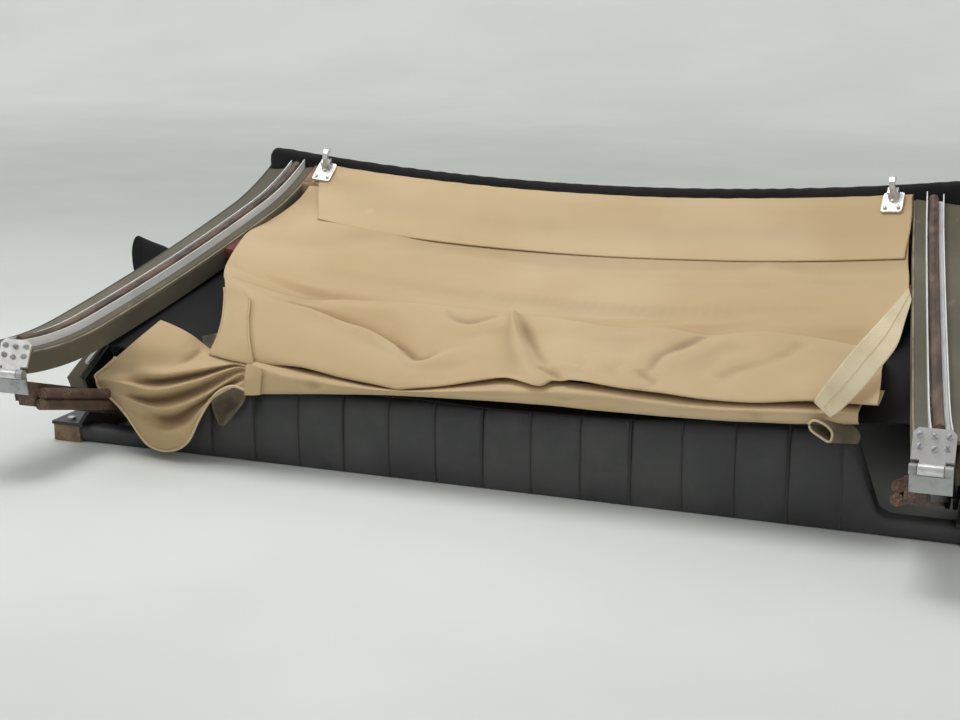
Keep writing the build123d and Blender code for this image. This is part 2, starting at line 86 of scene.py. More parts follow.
# Floor and backdrop: one pale sheet just under the tack rail, swept up behind the hood.
# The class writes shader maths as plain expressions, and its node method adds any other node.
class Thread:
    def __init__(self, tree, socket=None):
        self.tree, self.socket = tree, socket

    def node(self, kind, settings=None, sockets=None, output=0):
        node = self.tree.nodes.new("ShaderNode" + kind)
        for name, value in (settings or {}).items():
            setattr(node, name, value)
        for name, value in (sockets or {}).items():
            if isinstance(value, Thread):
                self.tree.links.new(value.socket, node.inputs[name])
            else:
                node.inputs[name].default_value = value
        return Thread(self.tree, node.outputs[output])

    def math(self, operation, *values):
        return self.node("Math", {"operation": operation}, dict(enumerate(values)))

    def __add__(self, other):
        return self.math("ADD", self, other)

    def __sub__(self, other):
        return self.math("SUBTRACT", self, other)

    def __rsub__(self, other):
        return self.math("SUBTRACT", other, self)

    def __mul__(self, other):
        return self.math("MULTIPLY", self, other)

    __radd__, __rmul__ = __add__, __mul__

    def sine(self):
        return self.math("SINE", self)

    def step(self, low, high):
        """0 below low, 1 above high and smooth between."""
        return self.node("MapRange", {"interpolation_type": "SMOOTHSTEP"},
                         {"Value": self, "From Min": low, "From Max": high})

    def tint(self, first, second):
        """Colour that goes from first to second as the value goes from 0 to 1."""
        pair = [shade if isinstance(shade, Thread) else (*shade, 1) for shade in (first, second)]
        return self.node("Mix", {"data_type": "RGBA"}, {0: self, 6: pair[0], 7: pair[1]}, 2)

    def stretched(self, scale):
        """The place with each axis scaled, for grain and streaks."""
        return self.node("Mapping", None, {"Vector": self, "Scale": scale})

    def noise(self, scale, detail=3, rough=0.5):
        return self.node("TexNoise", None,
                         {"Vector": self, "Scale": scale, "Detail": detail, "Roughness": rough})

    def cells(self, scale, output=0, **settings):
        return self.node("TexVoronoi", settings, {"Vector": self, "Scale": scale}, output)


def finish(name, sheen=0.0):
    """New material: its shader, and the place on the piece as the start of its nodes."""
    material = bpy.data.materials.new(name)
    material.use_nodes = True
    shader = material.node_tree.nodes["Principled BSDF"]
    if sheen:
        shader.inputs["Sheen Weight"].default_value = sheen
        shader.inputs["Sheen Roughness"].default_value = 0.6
    return material, shader, Thread(material.node_tree).node("TexCoord", None, None, "Object")


def feed(shader, bump=None, strength=0.3, depth=0.001, **sockets):
    """Link or set the shader's sockets, with _ for a space, and its bump."""
    tree = shader.id_data
    if bump is not None:
        sockets["Normal"] = Thread(tree).node(
            "Bump", None, {"Height": bump, "Strength": strength, "Distance": depth})
    for name, value in sockets.items():
        socket = shader.inputs[name.replace("_", " ")]
        if isinstance(value, Thread):
            tree.links.new(value.socket, socket)
        else:
            socket.default_value = value


pale_floor, shader, place = finish("pale_floor")
mottle = place.noise(1.3, 4).step(0.3, 0.7)
far = place.node("VectorMath", {"operation": "LENGTH"}, {0: place}, 1).step(1.5, 8)
feed(shader, Base_Color=mottle.tint((0.70, 0.73, 0.70), (0.78, 0.80, 0.77)), Roughness=0.9,
     Emission_Color=far.tint((0, 0, 0), (0.27, 0.29, 0.27)), Emission_Strength=1.0)
far_edge, rise = 9, 12
bpy.ops.mesh.primitive_plane_add(size=60, location=(0, 0, -0.001))
floor = bpy.context.active_object
floor.name = "studio_floor"
bpy.ops.object.mode_set(mode="EDIT")
bpy.ops.mesh.select_all(action="SELECT")
bpy.ops.mesh.subdivide(number_cuts=1)
bpy.ops.object.mode_set(mode="OBJECT")
for corner in floor.data.vertices:
    if corner.co.y > 1:
        corner.co.y = far_edge
bpy.ops.object.mode_set(mode="EDIT")
bpy.ops.mesh.select_mode(type="EDGE")
bpy.ops.mesh.select_all(action="DESELECT")
bpy.ops.object.mode_set(mode="OBJECT")
for edge in floor.data.edges:
    edge.select = all(floor.data.vertices[corner].co.y > far_edge - 1 for corner in edge.vertices)
bpy.ops.object.mode_set(mode="EDIT")
bpy.ops.mesh.extrude_region_move(TRANSFORM_OT_translate={"value": (0, 1, rise)})
bpy.ops.object.mode_set(mode="OBJECT")
curve = floor.modifiers.new("curve", "BEVEL")
curve.width, curve.segments, curve.limit_method = 4, 16, "ANGLE"
bpy.ops.object.modifier_apply(modifier="curve")
bpy.ops.object.shade_smooth()
floor.data.materials.append(pale_floor)
floor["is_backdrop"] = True

# Soft daylight: an even sky, a broad lamp over the hood and a weaker one from each side.
# The lamps are wide, so the shadows are soft.
scene.world = bpy.data.worlds.new("sky")
scene.world.use_nodes = True
sky = scene.world.node_tree.nodes["Background"].inputs
sky["Color"].default_value = (1.0, 1.0, 0.99, 1)
sky["Strength"].default_value = 0.40
lamps = (("overhead", (-0.5, 0.1, 2.7), 1.4, 34), ("from_right", (-2.5, -1.1, 1.7), 1.2, 16),
         ("from_left", (2.6, -2.0, 1.8), 1.6, 14))
for name, spot, size, power in lamps:
    lamp = bpy.data.lights.new(name, "AREA")
    lamp.size, lamp.energy = size, power
    holder = bpy.data.objects.new(name, lamp)
    holder.location = spot
    holder.rotation_euler = (Vector((0, 0.1, 0.2)) - Vector(spot)).to_track_quat("-Z", "Y").to_euler()
    scene.collection.objects.link(holder)


# Tack rail and bows: steamed and planed ash with the grain along each piece, oiled brown or stained red.
# The outer cloth is tacked to them, and the tack rail is bolted down to the body's edge.
def timber(name, along, dark, light):
    """Material with its grain along one axis, in dark to light rings with open pores and worn patches."""
    material, shader, place = finish(name)
    scale = [1.0, 1.0, 1.0]
    scale[along] = 0.06
    drawn = place.stretched(scale)
    rings = drawn.noise(60, 2).step(0.35, 0.65)
    pores = drawn.noise(420, 2).step(0.52, 0.7)
    worn = place.noise(7, 4).step(0.45, 0.75)
    wood = (worn * 0.45).tint(rings.tint(dark, light), (0.11, 0.09, 0.065))
    wood = (pores * 0.5).tint(wood, (0.06, 0.04, 0.025))
    feed(shader, rings * 0.5 - pores, 0.35, 0.0004, Base_Color=wood,
         Roughness=0.5 + rings * 0.15 + worn * 0.15)
    return material


ash_across = timber("ash_across", 0, (0.20, 0.12, 0.065), (0.34, 0.22, 0.12))
ash_along = timber("ash_along", 1, (0.17, 0.105, 0.06), (0.29, 0.19, 0.105))


def dress(material, *names):
    """Give pieces this material alone."""
    for name in names:
        mesh = bpy.data.objects[name].data
        mesh.materials.clear()
        mesh.materials.append(material)


dress(ash_along, "tack_rail")
dress(ash_across, "header_bow", "rear_bow")
dress(timber("red_bow", 0, (0.10, 0.018, 0.012), (0.16, 0.030, 0.020)), "roof_bow")

# Screws and bolts: turned steel heads with a sawn slot, modelled once and copied to every fixing.
# The dome is a cylinder drawn in at its top, and a thin block cuts the slot.
worn_plate, shader, place = finish("worn_plate")
speck = place.noise(900, 2).step(0.66, 0.74)
cloud = place.noise(60, 4).step(0.35, 0.7)
plate_shade = cloud.tint((0.80, 0.80, 0.79), (0.62, 0.61, 0.58))
plate_shade = (speck * 0.8).tint(plate_shade, (0.20, 0.16, 0.12))
feed(shader, speck * -1.0 + cloud * 0.3, 0.25, 0.0003, Base_Color=plate_shade,
     Metallic=0.82 - speck * 0.6, Roughness=0.30 + cloud * 0.16 + speck * 0.3)

bpy.ops.mesh.primitive_cylinder_add(vertices=20, radius=0.0034, depth=0.0020, location=(0, 0, 0.0008))
screw = bpy.context.active_object
bpy.ops.object.mode_set(mode="EDIT")
bpy.ops.mesh.select_all(action="DESELECT")
bpy.ops.object.mode_set(mode="OBJECT")
for face in screw.data.polygons:
    face.select = face.normal.z > 0.9
bpy.ops.object.mode_set(mode="EDIT")
bpy.ops.mesh.inset(thickness=0.0009)
bpy.ops.transform.translate(value=(0, 0, 0.0005))
bpy.ops.mesh.inset(thickness=0.0010)
bpy.ops.transform.translate(value=(0, 0, 0.0002))
bpy.ops.object.mode_set(mode="OBJECT")
bpy.ops.mesh.primitive_cube_add(size=1, location=(0, 0, 0.0025))
saw = bpy.context.active_object
saw.scale = (0.009, 0.0009, 0.0024)
bpy.context.view_layer.objects.active = screw
slot = screw.modifiers.new("slot", "BOOLEAN")
slot.object, slot.solver = saw, "EXACT"
bpy.ops.object.modifier_apply(modifier="slot")
screw_mesh = screw.data
screw_mesh.transform(screw.matrix_world)
bpy.data.objects.remove(saw)
bpy.data.objects.remove(screw)


def fasten(name, body, spots, material=worn_plate, size=1.0):
    """Screw heads at (place, outward direction, turn in degrees), joined as one piece."""
    heads = []
    for spot, outward, turn in spots:
        mesh = screw_mesh.copy()
        aim = Vector(outward).to_track_quat("Z", "Y").to_matrix().to_4x4()
        turned = aim @ Matrix.Rotation(radians(turn), 4, "Z") @ Matrix.Scale(size, 4)
        mesh.transform(Matrix.Translation(Vector(spot) / 1000) @ turned)
        head = bpy.data.objects.new(name, mesh)
        scene.collection.objects.link(head)
        heads.append(head)
    bpy.ops.object.select_all(action="DESELECT")
    for head in heads:
        head.select_set(True)
    bpy.context.view_layer.objects.active = heads[0]
    bpy.ops.object.join()
    piece = bpy.context.active_object
    piece.name = name
    dress(material, name)
    bpy.ops.object.shade_smooth_by_angle(angle=radians(35))
    bpy.ops.object.select_all(action="DESELECT")
    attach(piece, body)


# Black irons: pivot brackets, post irons and leg irons, forged flats painted black and rubbed in places.
# One pin on each side carries the bracket, the post and the rear leg.
black_paint, shader, place = finish("black_paint")
rub = place.noise(38, 5, 0.65).step(0.60, 0.72)
feed(shader, place.noise(300, 2) + rub * -0.8, 0.2, 0.0003, Roughness=0.36 + rub * 0.3, Metallic=rub * 0.4,
     Base_Color=rub.tint((0.020, 0.020, 0.021), (0.10, 0.075, 0.055)))
sides = ((1, "left"), (-1, "right"))
bolt, up = 1.9, (0, 0, 1)
bracket_x, bracket_top, tack_y, tack_top = 677.5, 31, 552.5, 26
for side, name in sides:
    dress(black_paint, f"pivot_bracket_{name}", f"post_iron_{name}", f"leg_iron_{name}")
    spots = [((side * bracket_x, y, bracket_top), up, turn) for y, turn in ((-45, 20), (45, 75))]
    fasten(f"bracket_bolts_{name}", "hood_base", spots, size=bolt)
spots = [((x, tack_y, tack_top), up, turn) for x, turn in ((-300, 40), (300, 110))]
fasten("tack_bolts", "hood_base", spots, size=bolt)

# Front rails, edge flaps and rear legs: shaped timber in thin olive leathercloth, glued on and rubbed pale.
# A narrow bead closes the cloth along each rail's inner edge, and black binding edges the flaps.
rail_cloth, shader, place = finish("rail_cloth", sheen=0.15)
patch = place.noise(9, 4, 0.6).step(0.35, 0.70)
scuff = place.stretched((1, 0.25, 1)).noise(55, 4, 0.7).step(0.60, 0.74)
grain = place.cells(1400)
cloth_shade = patch.tint((0.088, 0.073, 0.044), (0.132, 0.114, 0.072))
cloth_shade = (scuff * 0.55).tint(cloth_shade, (0.25, 0.20, 0.14))
feed(shader, grain * 0.6 - scuff * 0.4, 0.22, 0.0003, Base_Color=cloth_shade, Roughness=0.56 + patch * 0.12,
     Specular_IOR_Level=0.35)
for side, name in sides:
    dress(rail_cloth, f"front_rail_{name}", f"edge_flap_{name}", f"rear_leg_{name}")

rail_bends = ((0, -6.5), (152, 11.8), (606, 17.2), (758, 35.5))
rail_length, splay = 758, radians(8.1)
rail_x, rail_y, rail_z = 651, -240, 200


def rail_line(across, offset, side, start, end):
    """Points along a front rail, at a place across it and square to its line from the channel's edge."""
    distance = np.linspace(0, rail_length, rail_length + 1)
    heading = np.radians(np.interp(distance, *zip(*rail_bends)))
    middle = (heading[1:] + heading[:-1]) / 2
    run = np.concatenate([[0], np.cumsum(np.cos(middle))])
    rise = np.concatenate([[0], np.cumsum(np.sin(middle))])
    run, rise = run - offset * np.sin(heading), rise + offset * np.cos(heading)
    at = np.linspace(start, end, 48)
    run, rise = np.interp(at, distance, run), np.interp(at, distance, rise)
    x = rail_x + across * np.cos(splay) - run * np.sin(splay)
    y = rail_y + across * np.sin(splay) + run * np.cos(splay)
    return np.stack([side * x, y, rail_z + rise], axis=1)


def cord_mesh(name, runs, radius, material, body, rounding=2):
    """Round beads, piping or threads along runs of points, as one piece."""
    line = bpy.data.curves.new(name, "CURVE")
    line.dimensions = "3D"
    line.bevel_depth = radius / 1000
    line.bevel_resolution = rounding
    line.use_fill_caps = True
    for points in runs:
        run = line.splines.new("POLY")
        run.points.add(len(points) - 1)
        for spot, point in zip(run.points, points):
            spot.co = (*[value / 1000 for value in point], 1)
    piece = bpy.data.objects.new(name, line)
    scene.collection.objects.link(piece)
    bpy.ops.object.select_all(action="DESELECT")
    piece.select_set(True)
    bpy.context.view_layer.objects.active = piece
    bpy.ops.object.convert(target="MESH")
    piece = bpy.context.active_object
    dress(material, name)
    if rounding:
        bpy.ops.object.shade_smooth()
    bpy.ops.object.select_all(action="DESELECT")
    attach(piece, body)
    return piece


pale_bead, shader, place = finish("pale_bead")
feed(shader, Base_Color=place.noise(40, 3).step(0.4, 0.7).tint((0.33, 0.28, 0.20), (0.20, 0.165, 0.11)),
     Roughness=0.6)
black_binding, shader, place = finish("black_binding", sheen=0.2)
feed(shader, place.noise(700, 2), 0.3, 0.0004, Roughness=0.65,
     Base_Color=place.noise(30, 3).tint((0.010, 0.010, 0.011), (0.035, 0.034, 0.033)))
for side, name in sides:
    inner_edge, outer_edge = rail_line(-43, -14.6, side, 14, 738), rail_line(44.5, -13.6, side, 4, 742)
    cord_mesh(f"rail_bead_{name}", [inner_edge], 1.5, pale_bead, "front_frame")
    cord_mesh(f"flap_binding_{name}", [outer_edge], 2.6, black_binding, "front_frame")

# Weather channel and its rubber tube: a pressed aluminium channel fixed along the rail, bright but dulling.
# The brown rubber tube is pressed into it, and smeared pale by use.
bright_channel, shader, place = finish("bright_channel")
streak = place.stretched((1, 0.04, 0.3)).noise(500, 3)
dull = place.noise(22, 4).step(0.45, 0.75)
feed(shader, streak, 0.15, 0.0003, Base_Color=dull.tint((0.90, 0.90, 0.90), (0.78, 0.77, 0.75)),
     Metallic=0.15, Roughness=0.30 + streak * 0.22)
brown_tube, shader, place = finish("brown_tube")
smear = place.stretched((1, 0.12, 1)).noise(70, 5, 0.6).step(0.35, 0.70)
feed(shader, place.stretched((1, 4, 1)).noise(160, 3) - smear * 0.4, 0.35, 0.0006,
     Base_Color=smear.tint((0.050, 0.032, 0.024), (0.190, 0.125, 0.085)), Roughness=0.50 + smear * 0.2)
for side, name in sides:
    dress(bright_channel, f"rail_channel_{name}", f"rear_strip_{name}")
    dress(brown_tube, f"rail_seal_{name}")

# Knuckle plates: plated steel, screwed to the mitred end of each rail, with the hinge barrel rolled on.
# The straps on the posts are dull zinc, and the buffers are red rubber.
zinc, shader, place = finish("zinc")
flake = place.cells(260, "Color").noise(2, 0)
tarnish = place.noise(45, 4).step(0.45, 0.7)
feed(shader, flake, 0.1, 0.0002, Base_Color=tarnish.tint((0.44, 0.45, 0.45), (0.25, 0.24, 0.22)),
     Metallic=0.7, Roughness=0.42 + flake * 0.12)
red_buffer, shader, place = finish("red_buffer")
feed(shader, place.noise(240, 3), 0.3, 0.0004, Roughness=0.7,
     Base_Color=place.noise(50, 3).tint((0.13, 0.030, 0.022), (0.30, 0.075, 0.05)))
lean = radians(64.5)
plate_x, plate_y, plate_z, sunk = 630.5, -261, 156, 3.0
plate_screws = ((-17, 41, 15), (-16, 27, 80), (0, 40, 140), (1, 25, 35), (17, 41, 60), (16, 27, 120))
for side, name in sides:
    dress(worn_plate, f"knuckle_plate_{name}", f"latch_{name}")
    dress(zinc, f"knuckle_strap_{name}")
    dress(red_buffer, f"rest_buffer_{name}")
    outward = (0, -np.sin(lean), np.cos(lean))
    spots = []
    for x, reach, turn in plate_screws:
        y = plate_y + reach * np.cos(lean) + sunk * np.sin(lean)
        z = plate_z + reach * np.sin(lean) - sunk * np.cos(lean)
        spots.append(((side * (plate_x + x), y, z), outward, turn))
    fasten(f"knuckle_screws_{name}", "front_frame", spots, zinc, 1.15)

# Posts and welts: timber posts covered in brown leather, with a welt of two round ribs on the inner face.
# The leather is dry, finely cracked and rubbed red-brown.
brown_leather, shader, place = finish("brown_leather")
crack = place.cells(230, "Distance", feature="DISTANCE_TO_EDGE").step(0.0, 0.12)
rubbed = place.noise(28, 4, 0.6).step(0.4, 0.72)
hide = rubbed.tint((0.085, 0.050, 0.036), (0.21, 0.125, 0.088))
hide = (1 - crack).tint(hide, (0.05, 0.028, 0.02))
feed(shader, crack + place.noise(60, 3) * 0.8, 0.4, 0.0006, Base_Color=hide, Roughness=0.55 + rubbed * 0.15)
for side, name in sides:
    dress(brown_leather, f"post_{name}", f"post_welt_{name}")

# Seat back rail: a padded roll of charcoal leather over a board, sewn in upright pleats.
# The pad is one ring of points drawn along the car, drawn in at each seam and at both low ends.
charcoal_leather, shader, place = finish("charcoal_leather")
pore = place.cells(1100)
wear = place.noise(11, 4, 0.6).step(0.35, 0.7)
feed(shader, pore * 0.5 + place.noise(90, 3) * 0.8, 0.25, 0.0004, Roughness=0.42 + wear * 0.14,
     Base_Color=wear.tint((0.036, 0.038, 0.038), (0.060, 0.062, 0.061)))
pad_ring = ((-51, 0), (-53, 0.25), (-54, 0.6), (-53, 0.85), (-50, 0.97), (-45, 1.02), (-39, 1.03),
            (-33, 1.0), (-29, 0.92), (-28, 0.5), (-29, 0))
pad_height = ((-655, 26), (-560, 26), (-545, 34), (-515, 96), (-500, 110), (-150, 112), (150, 121),
              (330, 128), (500, 132), (518, 112), (545, 34), (560, 26), (655, 26))
half_pad, half_pleats, first_seam, seam_gap, pad_columns = 655, 501, -500, 71.4, 300
front_face, slack_puff = -44, 0.7
bpy.ops.mesh.primitive_grid_add(x_subdivisions=pad_columns, y_subdivisions=len(pad_ring), size=2)
pad = bpy.context.active_object
pad.name = "seat_back_pad"
for point in pad.data.vertices:
    ring = round((point.co.y + 1) / 2 * len(pad_ring)) % len(pad_ring)
    x = point.co.x * half_pad
    height = np.interp(x, *zip(*pad_height))
    puff = slack_puff
    if abs(x) < half_pleats:
        puff = abs(np.sin(np.pi * (x - first_seam) / seam_gap)) ** 0.4
    reach, share = pad_ring[ring]
    level = height * share + (puff - slack_puff) * 3 * (share > 0.8)
    forward = (puff * 8 - 2) * (0 < share and reach < front_face)
    point.co = (x / 1000, (reach - forward) / 1000, max(level, 0) / 1000)
bpy.ops.object.mode_set(mode="EDIT")
bpy.ops.mesh.select_all(action="SELECT")
bpy.ops.mesh.remove_doubles(threshold=0.00001)
bpy.ops.mesh.fill_holes(sides=0)
bpy.ops.mesh.normals_make_consistent(inside=False)
bpy.ops.object.mode_set(mode="OBJECT")
pad.data.materials.append(charcoal_leather)
bpy.ops.object.shade_smooth_by_angle(angle=radians(50))
bpy.ops.object.select_all(action="DESELECT")
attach(pad, "hood_base")
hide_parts("seat_back_rail")
# A near-black cord lies in each pleat's groove: partly the sewn seam, partly painted shade in the groove.
for seam in range(15):
    x = first_seam + seam * seam_gap
    height = np.interp(x, *zip(*pad_height))
    welt = [(x, reach - 1.2 * (reach < front_face), 1 + height * share + 0.6 * (share > 0.9))
            for reach, share in pad_ring[:8]]
    cord_mesh(f"pleat_seam_shade_{seam + 1:02d}", [welt], 1.3, black_binding, "hood_base")

# Header trim: a roll of black hood cloth sewn over the header's front edge, drawn tight with small puckers.
# Its ring of points runs round the roll, and the header's crown lowers it towards the middle.
def woven(name, pitch, sheen):
    """Cloth material, and its threads at their pitch in metres over the cut sheet."""
    material, shader, place = finish(name, sheen)
    cut = place.node("UVMap", {"uv_map": "cut"})
    across = cut.node("SeparateXYZ", None, {0: cut})
    along = Thread(cut.tree, across.socket.node.outputs[1])
    turn = 2 * np.pi / pitch
    return material, shader, place, (across * turn).sine() * (along * turn).sine()


hood_cloth, shader, place, threads = woven("hood_cloth", 0.0016, 0.0)
faded = place.noise(5, 5, 0.6).step(0.35, 0.75)
lint = place.noise(260, 4, 0.7).step(0.62, 0.75)
black_shade = faded.tint((0.009, 0.009, 0.010), (0.022, 0.021, 0.021))
black_shade = (lint * 0.4).tint(black_shade, (0.055, 0.053, 0.050))
feed(shader, threads * 0.4 + lint * 0.3, 0.3, 0.0004, Base_Color=black_shade, Roughness=0.66 + faded * 0.15,
     Specular_IOR_Level=0.22)


def smooth_line(points, places):
    """Points along the smooth curve through the points, at places from 0 to 1 or at a count of even ones."""
    points = np.asarray(points, float)
    last = len(points) - 1
    if isinstance(places, int):
        places = np.linspace(0, 1, places)
    spot = np.clip(np.asarray(places) * last, 0, last - 1e-6)
    at = spot.astype(int)
    part = (spot - at)[:, None] if points.ndim == 2 else (spot - at)[:, None, None]
    before, start, end, after = (points[np.clip(at + shift, 0, last)] for shift in (-1, 0, 1, 2))
    return 0.5 * (2 * start + (end - before) * part + (2 * before - 5 * start + 4 * end - after) * part ** 2
                  + (3 * start - before - 3 * end + after) * part ** 3)


def hollows(drawn):
    """How far each point lies under the smoothed surface, 1 at 4 mm, for painted shade in the folds."""
    smooth, passes, deep = drawn, 24, 4
    for _ in range(passes):
        padded = np.pad(smooth, ((1, 1), (0, 0), (0, 0)), mode="edge")
        smooth = (padded[:-2] + padded[1:-1] + padded[2:]) / 3
        padded = np.pad(smooth, ((0, 0), (1, 1), (0, 0)), mode="edge")
        smooth = (padded[:, :-2] + padded[:, 1:-1] + padded[:, 2:]) / 3
    outward = np.cross(np.gradient(smooth, axis=0), np.gradient(smooth, axis=1))
    outward /= np.linalg.norm(outward, axis=2, keepdims=True) + 1e-9
    return np.clip(((smooth - drawn) * outward).sum(axis=2) / deep, 0, 1)


def sheet_mesh(name, rows, columns, lines, material, body, thickness=1.6, shape=None):
    """Cloth through rows of points: a grid shaped to them, with a thickness. Also the size it is cut to."""
    drawn = np.stack([smooth_line(row, columns + 1) for row in rows])
    drawn = smooth_line(drawn, lines + 1)
    if shape is not None:
        drawn = shape(drawn)
    bpy.ops.mesh.primitive_grid_add(x_subdivisions=columns, y_subdivisions=lines, size=2)
    piece = bpy.context.active_object
    piece.name = name
    wide = np.linalg.norm(np.diff(drawn, axis=1), axis=2).sum(axis=1).mean() / 1000
    long = np.linalg.norm(np.diff(drawn, axis=0), axis=2).sum(axis=0).mean() / 1000
    flat = np.empty(len(piece.data.vertices) * 3)
    piece.data.vertices.foreach_get("co", flat)
    flat = flat.reshape(-1, 3)
    column = np.rint((flat[:, 0] + 1) / 2 * columns).astype(int)
    line = np.rint((1 - flat[:, 1]) / 2 * lines).astype(int)
    piece.data.vertices.foreach_set("co", (drawn[line, column] / 1000).ravel())
    # Depth under the smoothed surface, which the lining material turns into painted shade.
    dents = piece.data.attributes.new("hollow_shade", "FLOAT", "POINT")
    dents.data.foreach_set("value", hollows(drawn)[line, column])
    layer = piece.data.uv_layers[0]
    layer.name = "cut"
    corners = np.empty(len(layer.data) * 2)
    layer.data.foreach_get("uv", corners)
    layer.data.foreach_set("uv", (corners.reshape(-1, 2) * (wide, long)).ravel())
    piece.data.update()
    cloth = piece.modifiers.new("cloth", "SOLIDIFY")
    cloth.thickness, cloth.offset = thickness / 1000, -1
    bpy.ops.object.modifier_apply(modifier="cloth")
    piece.data.materials.append(material)
    bpy.ops.object.shade_smooth()
    bpy.ops.object.select_all(action="DESELECT")
    if body:
        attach(piece, body)
    return piece, (round(float(wide), 3), round(float(long), 3))


header_drop, half_header = 38, 592.7


def crowned(x, y, level):
    return (x, y, level - header_drop * (1 - (x / half_header) ** 2))


def puckers(drawn):
    """Small puckers along the trim's seam, and ends that dip over the rails and close."""
    x, z = drawn[..., 0], drawn[..., 2]
    curl_from, curl, close_from, close, middle = 560, 33, 580, 13, 472
    drawn[..., 2] += 0.5 * np.sin(x * 0.19 + 2 * np.sin(x * 0.023)) * np.cos(z * 0.11)
    drawn[..., 1] += 0.5 * np.sin(x * 0.13 + 1.7) * np.sin(z * 0.2)
    drawn[..., 2] -= 5 * np.clip((np.abs(x) - curl_from) / curl, 0, 1) ** 2
    closed = np.sqrt(1 - np.clip((np.abs(x) - close_from) / close, 0, 1) ** 2)
    heart = drawn[..., 2].mean(axis=0)
    drawn[..., 1] = middle + (drawn[..., 1] - middle) * closed
    drawn[..., 2] = heart + (drawn[..., 2] - heart) * closed
    return drawn


header_top = 394.6
across_trim = (-593, -450, -300, -150, 0, 150, 300, 450, 593)
trim_ring = ((468, -50), (466, -30), (465.5, -12), (466, -2), (469, 3), (473.5, 3.5), (478, 0), (479, -8),
             (479, -30), (478, -50))
trim_rows = [[crowned(x, y, header_top + z) for x in across_trim] for y, z in trim_ring]
trim, cut_size = sheet_mesh("trim_roll", trim_rows, 260, 40, hood_cloth, "front_frame",
                            1.5, puckers)
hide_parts("header_trim")

# Latches: plated, with a hook between two ears, and each screwed through the lining to the header.
# Three screws hold each plate, which follows the header's slope and crown.
latch_screws = ((-10, -14, 30), (10, -14, 80), (0, 1, 130))
header_slope, crown_slope = radians(35.5), radians(5.9)
latch_x, latch_y, latch_z, plate_top = 477.7, 445, 362.9, 4
for side, name in sides:
    tilt = Matrix.Rotation(header_slope, 4, "X") @ Matrix.Rotation(-side * crown_slope, 4, "Y")
    seat = Matrix.Translation((side * latch_x, latch_y, latch_z)) @ tilt
    spots = [(seat @ Vector((x, y, plate_top)), tilt @ Vector(up), turn) for x, y, turn in latch_screws]
    fasten(f"latch_screws_{name}", "front_frame", spots, size=0.8)

# Lining flap: the strip of lining turned down from the header, sewn along its lower edge.
# The lining is a soft woven cotton, faded from sand to straw, with small marks, a fine bump and painted
# shade in its folds.
tan_lining, shader, place, threads = woven("tan_lining", 0.0013, 0.1)
fade = place.noise(3.2, 4, 0.55).step(0.35, 0.70)
blotch = place.noise(19, 5, 0.65).step(0.60, 0.80)
soil = place.noise(90, 3, 0.6).step(0.74, 0.82)
lining_shade = fade.tint((0.545, 0.395, 0.210), (0.625, 0.470, 0.280))
lining_shade = (blotch * 0.30).tint(lining_shade, (0.48, 0.325, 0.170))
# Painted shade: the lining is darkened where it lies under its smoothed surface, in folds and creases.
hollow_shade = place.node("Attribute", {"attribute_name": "hollow_shade"}, None, "Fac")
lining_shade = (hollow_shade * 0.85).tint(lining_shade, (0.24, 0.145, 0.070))
lining_shade = (soil * 0.25).tint(lining_shade, (0.34, 0.21, 0.11))
feed(shader, threads + place.noise(420, 3) * 1.5, 0.16, 0.0004, Base_Color=lining_shade,
     Roughness=0.80 + fade * 0.08)
flap_rows = [[(x, y, z) for x, z in row] for y, row in (
    (466, ((-490, 375), (-380, 364), (-253, 356), (-120, 350), (9, 349), (130, 350), (255, 356), (380, 364),
           (506, 376))),
    (458, ((-489, 370), (-380, 360), (-253, 351), (-120, 346), (9, 344), (130, 346), (255, 351), (380, 360),
           (504, 370))),
    (432, ((-482, 351), (-375, 342), (-245, 334), (-110, 328), (16, 326), (136, 328), (262, 334),
           (384, 342), (508, 353))),
    (392, ((-464, 331), (-360, 319), (-228, 310), (-95, 304), (28, 303), (146, 305), (272, 311), (388, 319),
           (512, 331))),
    (345, ((-442, 310), (-335, 296), (-208, 286), (-80, 282), (44, 281), (160, 284), (282, 289), (395, 297),
           (513, 308))),
    (330, ((-436, 304), (-330, 288), (-201, 279), (-75, 275), (50, 274), (165, 277), (286, 282), (398, 290),
           (514, 301))),
)]
# The lower edge turns under, and one point of the right edge lies 2 mm further forward.
flap_rows.append([(x, 328, z - 3) for x, _, z in flap_rows[-1]])
flap_rows[3][0] = (-464, 390, 331)
flap, cut_size = sheet_mesh("lining_flap", flap_rows, 170, 48, tan_lining, "front_frame")
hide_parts("lining_panel")

# Main lining: the slack roof lining, falling from the header over the seat back in one long roll.
# Its right end is open like a cuff, a long fold runs down from there and a pinched fold stands mid-way.
roof_rows = [[(x, y, z) for x, z in row] for y, row in (
    (457, ((-489, 371), (-380, 356), (-250, 347), (-110, 341), (9, 340), (130, 342), (255, 347), (380, 356),
           (504, 367))),
    (400, ((-503, 323), (-400, 324), (-260, 311), (-110, 305), (20, 304), (150, 306), (270, 312),
           (390, 320), (510, 331))),
    (330, ((-524, 294), (-425, 299), (-290, 280), (-120, 271), (40, 270), (160, 273), (286, 278),
           (400, 286), (519, 297))),
    (265, ((-530, 284), (-440, 277), (-300, 263), (-120, 254), (50, 253), (170, 255), (290, 261),
           (405, 269), (530, 281))),
    (205, ((-520, 270), (-445, 261), (-300, 248), (-120, 240), (55, 238), (175, 241), (300, 247),
           (412, 255), (536, 266))),
    (150, ((-508, 253), (-445, 243), (-300, 230), (-120, 223), (60, 220), (185, 222), (300, 226),
           (418, 233), (534, 241))),
)]
